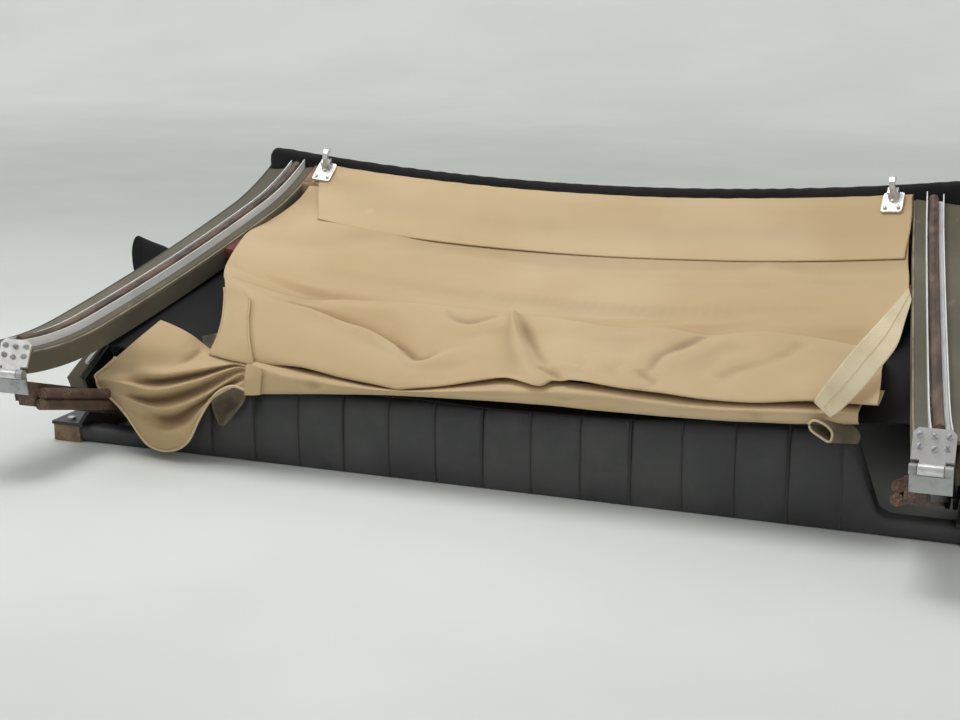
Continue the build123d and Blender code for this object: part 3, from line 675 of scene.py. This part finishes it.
roll_rows = [
    [(-498, 124, 248), (-460, 124, 241), (-356, 124, 215), (-278, 124, 215), (-234, 124, 216),
     (-189, 124, 216), (-148, 124, 216), (-109, 124, 216), (-61, 124, 214), (-24, 124, 213),
     (-12, 124, 214), (10, 124, 213), (72, 124, 212), (149, 124, 209), (216, 124, 213), (281, 124, 210),
     (354, 124, 218), (423, 124, 218), (477, 124, 217), (526, 124, 219)],
    [(-488, 103, 243), (-455, 102, 236), (-350, 99, 202), (-276, 98, 201), (-232, 98, 201), (-187, 98, 201),
     (-146, 98, 201), (-107, 98, 200), (-59, 98, 198), (-22, 98, 196), (-10, 98, 199), (12, 98, 197),
     (73, 98, 195), (150, 98, 191), (217, 98, 196), (281, 98, 191), (355, 98, 201), (423, 98, 200),
     (478, 98, 198), (525, 98, 197)],
    [(-474, 80, 243), (-440, 78, 240), (-337, 70, 222), (-268, 78, 224), (-224, 78, 225), (-179, 78, 227),
     (-139, 78, 227), (-99, 78, 226), (-51, 76, 224), (-11, 72, 224), (0, 68, 231), (20, 72, 225),
     (82, 72, 222), (158, 72, 217), (223, 72, 222), (287, 72, 217), (359, 72, 228), (427, 72, 226),
     (481, 72, 221), (527, 72, 217)],
    [(-460, 56, 236), (-422, 52, 239), (-328, 52, 223), (-260, 60, 223), (-214, 58, 224), (-168, 56, 225),
     (-127, 55, 225), (-86, 55, 225), (-42, 54, 224), (-3, 50, 224), (8, 44, 232), (27, 50, 225),
     (89, 50, 224), (163, 50, 219), (228, 50, 224), (291, 50, 218), (363, 50, 230), (430, 50, 228),
     (484, 50, 223), (529, 50, 219)],
    [(-452, 40, 228), (-410, 36, 237), (-320, 40, 222), (-248, 40, 212), (-203, 32, 208), (-153, 20, 201),
     (-111, 8, 197), (-70, 12, 203), (-29, 22, 209), (10, 18, 210), (24, 12, 217), (41, 22, 210),
     (104, 18, 211), (173, 18, 210), (235, 18, 214), (298, 18, 210), (369, 18, 218), (435, 18, 219),
     (488, 18, 216), (533, 18, 213)],
    [(-445, 26, 221), (-400, 22, 234), (-312, 30, 214), (-243, 24, 198), (-196, 12, 190), (-146, -4, 180),
     (-106, -24, 173), (-64, -14, 189), (-21, -4, 200), (19, -6, 200), (39, -12, 208), (55, 0, 202),
     (117, -8, 204), (183, -8, 204), (242, -8, 208), (303, -8, 204), (373, -8, 212), (439, -8, 213),
     (491, -8, 211), (535, -8, 208)],
    [(-438, 16, 217), (-389, 8, 230), (-306, 16, 222), (-241, 6, 208), (-194, -6, 202), (-146, -26, 189),
     (-106, -50, 174), (-62, -38, 183), (-15, -27, 192), (27, -24, 193), (53, -34, 200), (70, -22, 197),
     (126, -30, 197), (190, -30, 200), (247, -30, 202), (308, -30, 198), (378, -30, 204), (442, -30, 207),
     (495, -30, 206), (538, -30, 204)],
    [(-426, -10, 203), (-375, -25, 210), (-291, -20, 205), (-225, -27, 194), (-179, -33, 188),
     (-137, -48, 179), (-103, -62, 168), (-60, -55, 171), (-8, -50, 181), (36, -45, 184), (69, -58, 188),
     (86, -45, 190), (135, -55, 189), (199, -57, 192), (254, -57, 194), (314, -57, 190), (383, -57, 195),
     (446, -57, 199), (498, -57, 199), (541, -57, 199)],
    [(-419, -40, 180), (-356, -57, 182), (-276, -58, 180), (-211, -63, 172), (-162, -68, 167),
     (-126, -74, 163), (-98, -80, 158), (-55, -74, 162), (-3, -71, 172), (42, -65, 176), (84, -83, 178),
     (101, -70, 183), (142, -73, 183), (207, -79, 184), (259, -79, 184), (319, -79, 180), (387, -79, 184),
     (449, -79, 190), (501, -78, 191), (543, -78, 192)],
    [(-423, -55, 160), (-343, -72, 156), (-270, -78, 158), (-205, -83, 150), (-150, -88, 146),
     (-114, -92, 143), (-96, -92, 145), (-49, -88, 152), (2, -83, 163), (44, -79, 170), (94, -97, 168),
     (112, -84, 175), (148, -85, 177), (212, -91, 174), (262, -91, 173), (321, -91, 170), (389, -91, 172),
     (451, -90, 180), (503, -90, 182), (543, -90, 183)],
]
front_edge = roll_rows[-1]
roll_rows += [[(x, y + under, z + lift) for x, y, z in front_edge] for under, lift in ((22, -3), (60, 3))]


def folded(drawn, folds):
    """Raise the cloth along each fold's line by its height, falling off over its width and at its ends."""
    steps = 60
    for line, height, width, push, *sharp in folds:
        away = np.linalg.norm(drawn[:, :, None, :] - smooth_line(line, steps), axis=3)
        fade = np.sin(np.pi * (away.argmin(axis=2) + 0.5) / steps) ** 0.5
        power = 2 * sharp[0] if sharp else 2.0
        reach = np.exp(-(away.min(axis=2) / width) ** power)
        drawn = drawn + (height * fade * reach)[..., None] * np.array(push)
    return drawn


out, back = (0, -0.6, 0.5), (0, 0.8, -0.5)
roll_folds = (
    ([(-350, 40, 227), (-312, 30, 213), (-243, 20, 198), (-195, 6, 189), (-146, -12, 177), (-108, -34, 169),
      (-84, -30, 172)], 9, 11, back),
    ([(-372, 30, 232), (-307, 16, 222), (-241, 5, 208), (-194, -8, 201), (-146, -28, 188),
      (-106, -50, 173)], 4, 9, out),
    ([(-430, 20, 232), (-380, -20, 214), (-330, -45, 190)], -4, 26, out),
    ([(-390, -10, 216), (-340, -30, 200), (-250, -40, 185)], 3, 22, out),
    ([(-300, 55, 224), (-240, 50, 218), (-180, 45, 216), (-130, 20, 202)], 4, 14, up),
    ([(-100, 60, 228), (-60, 40, 218), (-20, 60, 227)], -5, 12, up),
    ([(-110, 30, 214), (-50, 25, 210), (0, 45, 220)], 3, 12, up),
    ([(-2, 58, 226), (18, 22, 214), (38, -20, 197), (60, -55, 186), (88, -92, 170)], 6, 9, out, 0.8),
    ([(12, 58, 226), (40, 20, 212), (70, -25, 196), (98, -64, 186)], -9, 11, out, 0.8),
    ([(82, -58, 190), (104, -72, 184), (130, -88, 176)], -11, 8, out, 0.9),
    ([(92, -50, 192), (116, -55, 190), (140, -62, 186)], 4, 9, out),
    ([(150, -20, 203), (165, -45, 196), (150, -70, 186)], 3.5, 16, out),
    ([(286, 62, 222), (262, 20, 212), (240, -20, 204), (238, -60, 192)], -8, 11, out),
    ([(300, 62, 222), (290, 20, 212), (262, -20, 203), (262, -66, 188)], 4, 15, out),
    ([(222, -58, 194), (236, -72, 186), (258, -80, 182)], -6, 10, out),
    ([(200, -50, 196), (222, -74, 186), (240, -88, 176)], 4, 12, out),
    ([(420, 45, 226), (400, 0, 214), (350, -35, 202), (330, -60, 192)], -6, 16, out),
    ([(330, 60, 224), (380, 30, 222), (440, 10, 217)], 3, 14, out),
    ([(-410, 400, 322), (-300, 330, 282), (-330, 250, 262), (-420, 190, 256)], 3, 40, up),
    ([(-200, 290, 260), (0, 250, 248), (200, 270, 258), (400, 280, 274)], 2.5, 30, up),
    ([(-380, 190, 252), (-100, 175, 234), (200, 170, 232), (480, 190, 256)], -3, 26, up),
    ([(300, 320, 280), (380, 240, 258), (470, 180, 250)], 2.5, 24, up),
)
lining_rows = [smooth_line(row, 20) for row in roof_rows] + roll_rows
lining, cut_size = sheet_mesh("main_lining", lining_rows, 330, 230, tan_lining, "front_frame",
                              shape=lambda drawn: folded(drawn, roll_folds))
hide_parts("lining_slack", "lining_roll")

# Cuff: the wide hem on the roll's open right end, turned back double.
# It is sewn with two lines of stitches in pale thread.
cuff_rows = [
    [(-459, 47, 236), (-424, 28, 240), (-389, 2, 231)],
    [(-448, 28, 225), (-412, 8, 229), (-380, -16, 221)],
    [(-428, -15, 204), (-400, -26, 209), (-373, -33, 209)],
    [(-421, -45, 181), (-388, -56, 183), (-355, -64, 181)],
    [(-425, -61, 160), (-385, -73, 158), (-342, -79, 155)],
    [(-425, -54, 155), (-385, -64, 154), (-342, -70, 151)],
]
cuff, cut_size = sheet_mesh("cuff_hem", cuff_rows, 24, 60, tan_lining, "front_frame", 2.2)
pale_thread, shader, place = finish("pale_thread")
feed(shader, Base_Color=place.noise(500, 2).step(0.4, 0.6).tint((0.46, 0.33, 0.19), (0.62, 0.48, 0.30)),
     Roughness=0.7)


def stitches(rows, share, lift, gap, length):
    """Short threads along a line at a share of the way across a sheet's rows, lifted off the cloth."""
    line = [smooth_line(row, [share])[0] + lift for row in rows]
    run = smooth_line(line, 400)
    travel = np.concatenate([[0], np.cumsum(np.linalg.norm(np.diff(run, axis=0), axis=1))])
    sewn = []
    for start in np.arange(gap, travel[-1] - length, gap + length):
        ends = [[np.interp(start + step, travel, run[:, axis]) for axis in range(3)]
                for step in (0, length / 2, length)]
        ends[1] = [value + arch for value, arch in zip(ends[1], (0, -0.15, 0.25))]
        sewn.append(ends)
    return sewn


thread = 0.35
for name, share in (("cuff_stitches", 0.90), ("cuff_stitches_outer", 0.10)):
    sewn = stitches(cuff_rows[:-1], share, (0, -0.3, 0.3), 1.4, 2.4)
    cord_mesh(name, sewn, thread, pale_thread, "front_frame", rounding=0)

# Lower layer: the end of the lining, hanging over the top of the seat back under the roll.
# Its right end has a hem, turned back double.
lower_rows = [
    [(-345, -58, 158), (-230, -60, 146), (-119, -64, 140), (39, -60, 164), (173, -62, 168), (310, -62, 165),
     (441, -60, 172), (520, -60, 176)],
    [(-342, -88, 154), (-213, -92, 143), (-105, -93, 141), (50, -92, 158), (182, -92, 164), (317, -93, 160),
     (447, -92, 168), (520, -90, 172)],
    [(-343, -94, 136), (-214, -94, 135), (-106, -94, 139), (66, -94, 150), (182, -94, 153), (330, -94, 153),
     (452, -94, 161), (520, -90, 165)],
    [(-345, -92, 115), (-216, -91, 128), (-108, -92, 136), (81, -92, 143), (182, -92, 143), (343, -92, 146),
     (456, -92, 153), (520, -88, 158)],
    [(-345, -84, 111), (-216, -84, 123), (-108, -84, 131), (81, -84, 138), (182, -84, 138), (343, -84, 141),
     (456, -84, 148), (520, -80, 153)],
]
lower_waves = ((-300, 4), (-262, -4), (-225, 3), (60, 2.5), (120, -2), (240, 2), (380, -2.5), (430, 2))
lower_folds = [([(x, -60, 160), (x + 12, -94, 150), (x + 30, -92, 130)], height, 13, (0, -1, 0))
               for x, height in lower_waves]
lower, cut_size = sheet_mesh("lower_lining", lower_rows, 200, 40, tan_lining, "front_frame",
                             shape=lambda drawn: folded(drawn, lower_folds))
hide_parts("lining_lower")
hem_rows = [
    [(-347, -90, 158), (-333, -94, 157), (-319, -97, 154)],
    [(-348, -97, 137), (-335, -98, 137), (-321, -98, 136)],
    [(-349, -96, 112), (-336, -97, 113), (-323, -97, 115)],
]
hem, cut_size = sheet_mesh("lower_hem", hem_rows, 14, 24, tan_lining, "front_frame", 2)

# Hanging corner: the loose end of the lining on the right, dropped in soft folds.
# Pale piping is sewn round its edge.
corner_rows = [
    [(-519, -36, 197), (-490, -42, 191), (-459, -48, 181), (-428, -46, 161), (-378, -66, 152),
     (-345, -84, 153)],
    [(-545, -64, 170), (-514, -66, 165), (-479, -66, 162), (-434, -62, 156), (-375, -70, 153),
     (-345, -85, 152)],
    [(-577, -70, 142), (-536, -74, 141), (-491, -76, 141), (-435, -72, 150), (-375, -74, 152),
     (-344, -86, 150)],
    [(-603, -66, 121), (-549, -78, 123), (-490, -92, 128), (-432, -90, 140), (-373, -80, 152),
     (-344, -87, 149)],
    [(-615, -68, 111), (-559, -82, 111), (-501, -68, 112), (-447, -66, 125), (-378, -72, 147),
     (-344, -87, 148)],
    [(-611, -72, 106), (-552, -88, 106), (-493, -99, 107), (-431, -96, 124), (-368, -84, 148),
     (-343, -88, 145)],
    [(-610, -69, 94), (-561, -81, 90), (-511, -74, 83), (-448, -68, 102), (-372, -74, 141),
     (-343, -88, 141)],
    [(-595, -74, 85), (-537, -92, 81), (-477, -102, 80), (-423, -97, 101), (-362, -84, 139),
     (-344, -88, 133)],
    [(-571, -80, 72), (-520, -86, 63), (-482, -70, 58), (-437, -68, 84), (-362, -78, 131),
     (-344, -88, 124)],
    [(-552, -82, 54), (-514, -94, 46), (-477, -100, 44), (-445, -96, 59), (-411, -92, 96), (-360, -88, 126),
     (-343, -90, 119)],
    [(-534, -84, 32), (-516, -88, 18), (-492, -91, 13), (-465, -93, 18), (-444, -93, 34), (-429, -92, 63),
     (-413, -91, 90), (-395, -90, 111), (-372, -90, 122), (-354, -90, 119), (-343, -90, 114)],
]
fall = (0, -0.9, 0.35)
corner_folds = (
    ([(-600, 20, 136), (-560, -10, 126), (-540, -30, 116)], -3, 22, fall),
    ([(-590, -60, 93), (-550, -84, 90), (-500, -98, 90)], 2, 8, fall),
    ([(-530, -86, 60), (-505, -92, 50), (-500, -92, 30)], -3, 9, fall),
    ([(-480, -98, 60), (-455, -96, 48), (-450, -94, 30)], 3, 9, fall),
    ([(-438, -58, 170), (-448, -64, 156), (-464, -72, 138), (-486, -82, 122)], -6.5, 7, fall),
)
corner, cut_size = sheet_mesh("hanging_corner", corner_rows, 130, 150, tan_lining, "post_right_frame",
                              shape=lambda drawn: folded(drawn, corner_folds))
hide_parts("lining_corner")
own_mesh(corner)
pale_piping, shader, place = finish("pale_piping")
feed(shader, place.noise(500, 2), 0.2, 0.0003, Roughness=0.75,
     Base_Color=place.noise(40, 3).tint((0.60, 0.45, 0.26), (0.70, 0.58, 0.38)))
edge = [row[0] for row in corner_rows[2:]] + corner_rows[-1][1:]
edge = [(x, y - 1.2, z) for x, y, z in smooth_line(edge, 90)]
piping = cord_mesh("corner_piping", [edge], 2.1, pale_piping, "post_right_frame")
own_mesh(piping)

# Curled edge: below the cuff the lining's edge turns over into a cone that shows its grey-brown back.
# The same back shows inside the mouth of the cuff.
lining_back, shader, place = finish("lining_back", sheen=0.1)
feed(shader, place.noise(600, 3), 0.25, 0.0004, Roughness=0.85,
     Base_Color=place.noise(30, 4).step(0.35, 0.7).tint((0.11, 0.085, 0.055), (0.20, 0.155, 0.10)))
cone_rows = [
    [(-410, -87, 98), (-393, -84, 116), (-374, -84, 121), (-349, -88, 116)],
    [(-409, -84, 89), (-403, -68, 88), (-386, -66, 89), (-357, -86, 99)],
    [(-405, -84, 77), (-402, -72, 74), (-392, -72, 75), (-369, -86, 84)],
    [(-398, -85, 61), (-395, -84, 60), (-392, -84, 60), (-384, -87, 66)],
]
cone, cut_size = sheet_mesh("curled_edge", cone_rows, 40, 40, lining_back, "post_right_frame",
                            1.4)
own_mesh(cone)
mouth_rows = [
    [(-458, -20, 174), (-448, -4, 175), (-434, -6, 180)],
    [(-451, -30, 163), (-444, -14, 164), (-430, -24, 170)],
    [(-441, -42, 155), (-436, -34, 156), (-428, -40, 160)],
]
mouth, cut_size = sheet_mesh("cuff_mouth", mouth_rows, 20, 24, lining_back, "front_frame",
                             1.4)

# Rolled end: at the left the lower layer's end is rolled up, so its back shows.
# Pale piping is sewn round its open mouth.
roll_ring = ((460, -100, 153), (468, -103, 159), (482, -100, 153), (490, -98, 143), (487, -99, 132),
             (475, -101, 138), (464, -101, 145), (461, -100, 151))
rolled_rows = [[(x + 30 * share, y + 28 * share, z - 6 * share) for x, y, z in roll_ring]
               for share in (0, 0.35, 0.7, 1)]
rolled, cut_size = sheet_mesh("rolled_end", rolled_rows, 60, 24, lining_back, "front_frame")
roll_mouth = [(x, y - 0.8, z) for x, y, z in smooth_line(roll_ring, 60)]
cord_mesh("rolled_end_piping", [roll_mouth], 1.7, pale_piping, "front_frame")

# Hanging strap: straw-coloured webbing from the left rail, hanging slack across the end of the roll.
# A line of stitches runs down its middle.
strap_cloth, shader, place, threads = woven("strap_cloth", 0.0024, 0.1)
age = place.noise(18, 4).step(0.4, 0.75)
feed(shader, threads, 0.3, 0.0005, Base_Color=age.tint((0.80, 0.68, 0.46), (0.69, 0.57, 0.36)),
     Roughness=0.82)
strap_rows = [
    [(550, 100, 299), (557, 80, 287)], [(538, 50, 284), (556, 30, 267)], [(522, 0, 265), (554, -20, 246)],
    [(506, -50, 246), (538, -60, 221)], [(489, -90, 222), (519, -95, 196)],
    [(471, -105, 194), (497, -108, 173)], [(467, -107, 184), (488, -110, 167)],
    [(468, -103, 181), (489, -106, 165)],
]
strap, cut_size = sheet_mesh("webbing_strap", strap_rows, 12, 90, strap_cloth, "front_frame",
                             1.8)
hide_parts("hanging_strap")
sewn = stitches(strap_rows[:-1], 0.5, (-0.3, -0.6, 0.4), 1.6, 2.6)
cord_mesh("strap_stitches", sewn, thread, pale_thread, "front_frame", rounding=0)

# Roof cover: black hood cloth under the flipped rails, tacked to the header.
# It hangs slack from there to the knuckles.
cover_marks = ((-62, 206), (55, 240), (192, 276), (336, 318), (400, 343), (464, 378))
cover_thick, narrowing, inset = 47.7, 0.1423, 20
cover_rows = []
for y, level in cover_marks:
    half = rail_x - (y - rail_y) * narrowing - inset
    cover_rows.append([crowned(side * half, y, level - cover_thick) for side in np.linspace(-1, 1, 13)])


def slack(drawn):
    """Shallow hollows and ripples of hood cloth that isn't stretched."""
    x, y = drawn[..., 0], drawn[..., 1]
    depth, wide, narrow = 3.0, np.sin(x * 0.013 + y * 0.009), np.sin(x * 0.031 - y * 0.022)
    drawn[..., 2] -= depth * (0.5 + 0.3 * wide + 0.2 * narrow)
    return drawn


cover, cut_size = sheet_mesh("roof_cover", cover_rows, 120, 80, hood_cloth, "front_frame",
                             1.8, slack)
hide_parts("cover_front")

# Middle fold: the same black cloth, dropped in one slack fold between the knuckles and the rear bow.
# It is tacked to the bow and moves with it.
fold_marks = ((80, 138, 6), (150, 141, 9), (230, 160, 6), (300, 183, 3), (327, 194, -8))
fold_rows = [[(x, y, level - drop * np.cos(x / 345)) for x in np.linspace(-518, 518, 9)]
             for y, level, drop in fold_marks]
middle, cut_size = sheet_mesh("middle_fold", fold_rows, 120, 50, hood_cloth, "rear_bow_frame",
                              1.8, slack)
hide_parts("cover_middle")

# Tail: the cloth from the rear bow down to the tack rail, draped in loose pleats.
# It is tacked over the rail's edge, and its share of the bow's crown dies out on the way down.
tail_marks = ((327, 2.5, 1), (340, 3, 1), (353, 1, 1), (372, -24, 1), (405, -52, 0.9), (455, -88, 0.6),
              (505, -124, 0.3), (545, -150, 0.1), (566, -157, 0), (577, -164, 0))
bow_level, bow_crown, half_bow = 186, 20, 667
tail_rows = []
for y, level, share in tail_marks:
    row = []
    for x in np.linspace(-520, 520, 17):
        bow = bow_level + bow_crown * (1 - (x / half_bow) ** 2) * share
        round_end = max(0, abs(x) - 400) * 0.19 * (y > 500)
        row.append((x, y - round_end, bow + level))
    tail_rows.append(row)


def pleats(drawn):
    """Loose folds that run down the cloth and die out at the bow and at the tacks."""
    x, y = drawn[..., 0], drawn[..., 1]
    free = np.clip((y - 352) / 40, 0, 1) * np.clip((572 - y) / 40, 0, 1)
    free = free * np.clip((520 - np.abs(x)) / 70, 0, 1)
    wave = np.sin(x * 0.031 + 0.6 * np.sin(x * 0.011)) * 5 + np.sin(x * 0.083 + y * 0.01 + 1.3) * 2.4
    wave = wave + np.sin(x * 0.147 - y * 0.02)
    drawn[..., 2] += free * (wave - 1)
    drawn[..., 1] += free * wave * 0.5
    return drawn


tail, cut_size = sheet_mesh("draped_tail", tail_rows, 220, 90, hood_cloth, None, 1.8, pleats)
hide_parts("cover_tail")
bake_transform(tail)

# Quarters: the cloth between each rear leg and the tack rail, sagging in two folds round the body's corner.
# On the right a loose fold of it stands up like an ear, doubled over and open at its outer end.
rail_path = ((679, 78), (681, 140), (680, 210), (677, 275), (664, 355), (628, 430), (578, 492))
ledge = ((676, 80, 128), (677, 140, 148), (677, 210, 168), (676, 270, 178), (672, 320, 186),
         (640, 354, 189), (580, 356, 193))
over_bow = [(x - 8 * (y < 350), min(y, 326), z + 2) for x, y, z in ledge] + [(508, 326, 197)]
seam_y, seam_z = zip(*[(row[-1][1], row[-1][2]) for row in tail_rows[:1:-1]])
seam_x, seam_top, seam_drop, rail_top = 503, 194, 168, 29
for side, name in sides:
    quarter_rows = [[(side * x, y, z) for x, y, z in over_bow][::side]]
    for share, bulge in ((0, 0), (0.2, 3), (0.45, -7), (0.7, 5), (0.9, 1), (1, 0)):
        row = []
        for (x0, y0, z0), (x1, y1) in zip(ledge, rail_path):
            x, y, z = x0 + (x1 - x0) * share, y0 + (y1 - y0) * share, z0 + (rail_top - z0) * share
            row.append((side * (x + bulge * (x > 640)), y + bulge * (y > 320), z))
        level = seam_top - seam_drop * share
        row.append((side * seam_x, np.interp(level, seam_z, seam_y) - 4, level))
        quarter_rows.append(row[::side])
    quarter, cut_size = sheet_mesh(f"quarter_cloth_{name}", quarter_rows, 110, 60, hood_cloth, None,
                                   1.8)
    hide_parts(f"cover_quarter_{name}")
    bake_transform(quarter)
ear_rows = [
    [(-680, 184, 178), (-681, 183, 212), (-681, 184, 246), (-684, 188, 266), (-691, 193, 277),
     (-703, 199, 274), (-711, 202, 258), (-713, 203, 240), (-710, 203, 214), (-700, 203, 182)],
    [(-660, 184, 174), (-660, 182, 210), (-660, 183, 240), (-661, 187, 260), (-666, 192, 269),
     (-676, 198, 267), (-684, 202, 250), (-686, 203, 234), (-686, 203, 210), (-680, 203, 180)],
    [(-642, 186, 172), (-640, 184, 206), (-639, 185, 236), (-639, 189, 254), (-643, 194, 262),
     (-652, 199, 259), (-660, 202, 244), (-662, 203, 228), (-662, 203, 206), (-658, 203, 178)],
    [(-626, 192, 170), (-622, 190, 200), (-620, 191, 228), (-620, 194, 244), (-623, 198, 250),
     (-630, 201, 247), (-636, 203, 236), (-638, 203, 222), (-640, 203, 204), (-642, 203, 176)],
]
ear, cut_size = sheet_mesh("folded_ear", ear_rows, 60, 30, hood_cloth, "rear_bow_frame", 1.8)

# Sizes: the box of the frame as loaded, and the box of the finished hood.
size = {"cad": [list(map(float, corner)) for corner in frame_box], "visual": [list(map(float, corner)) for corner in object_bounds()]}
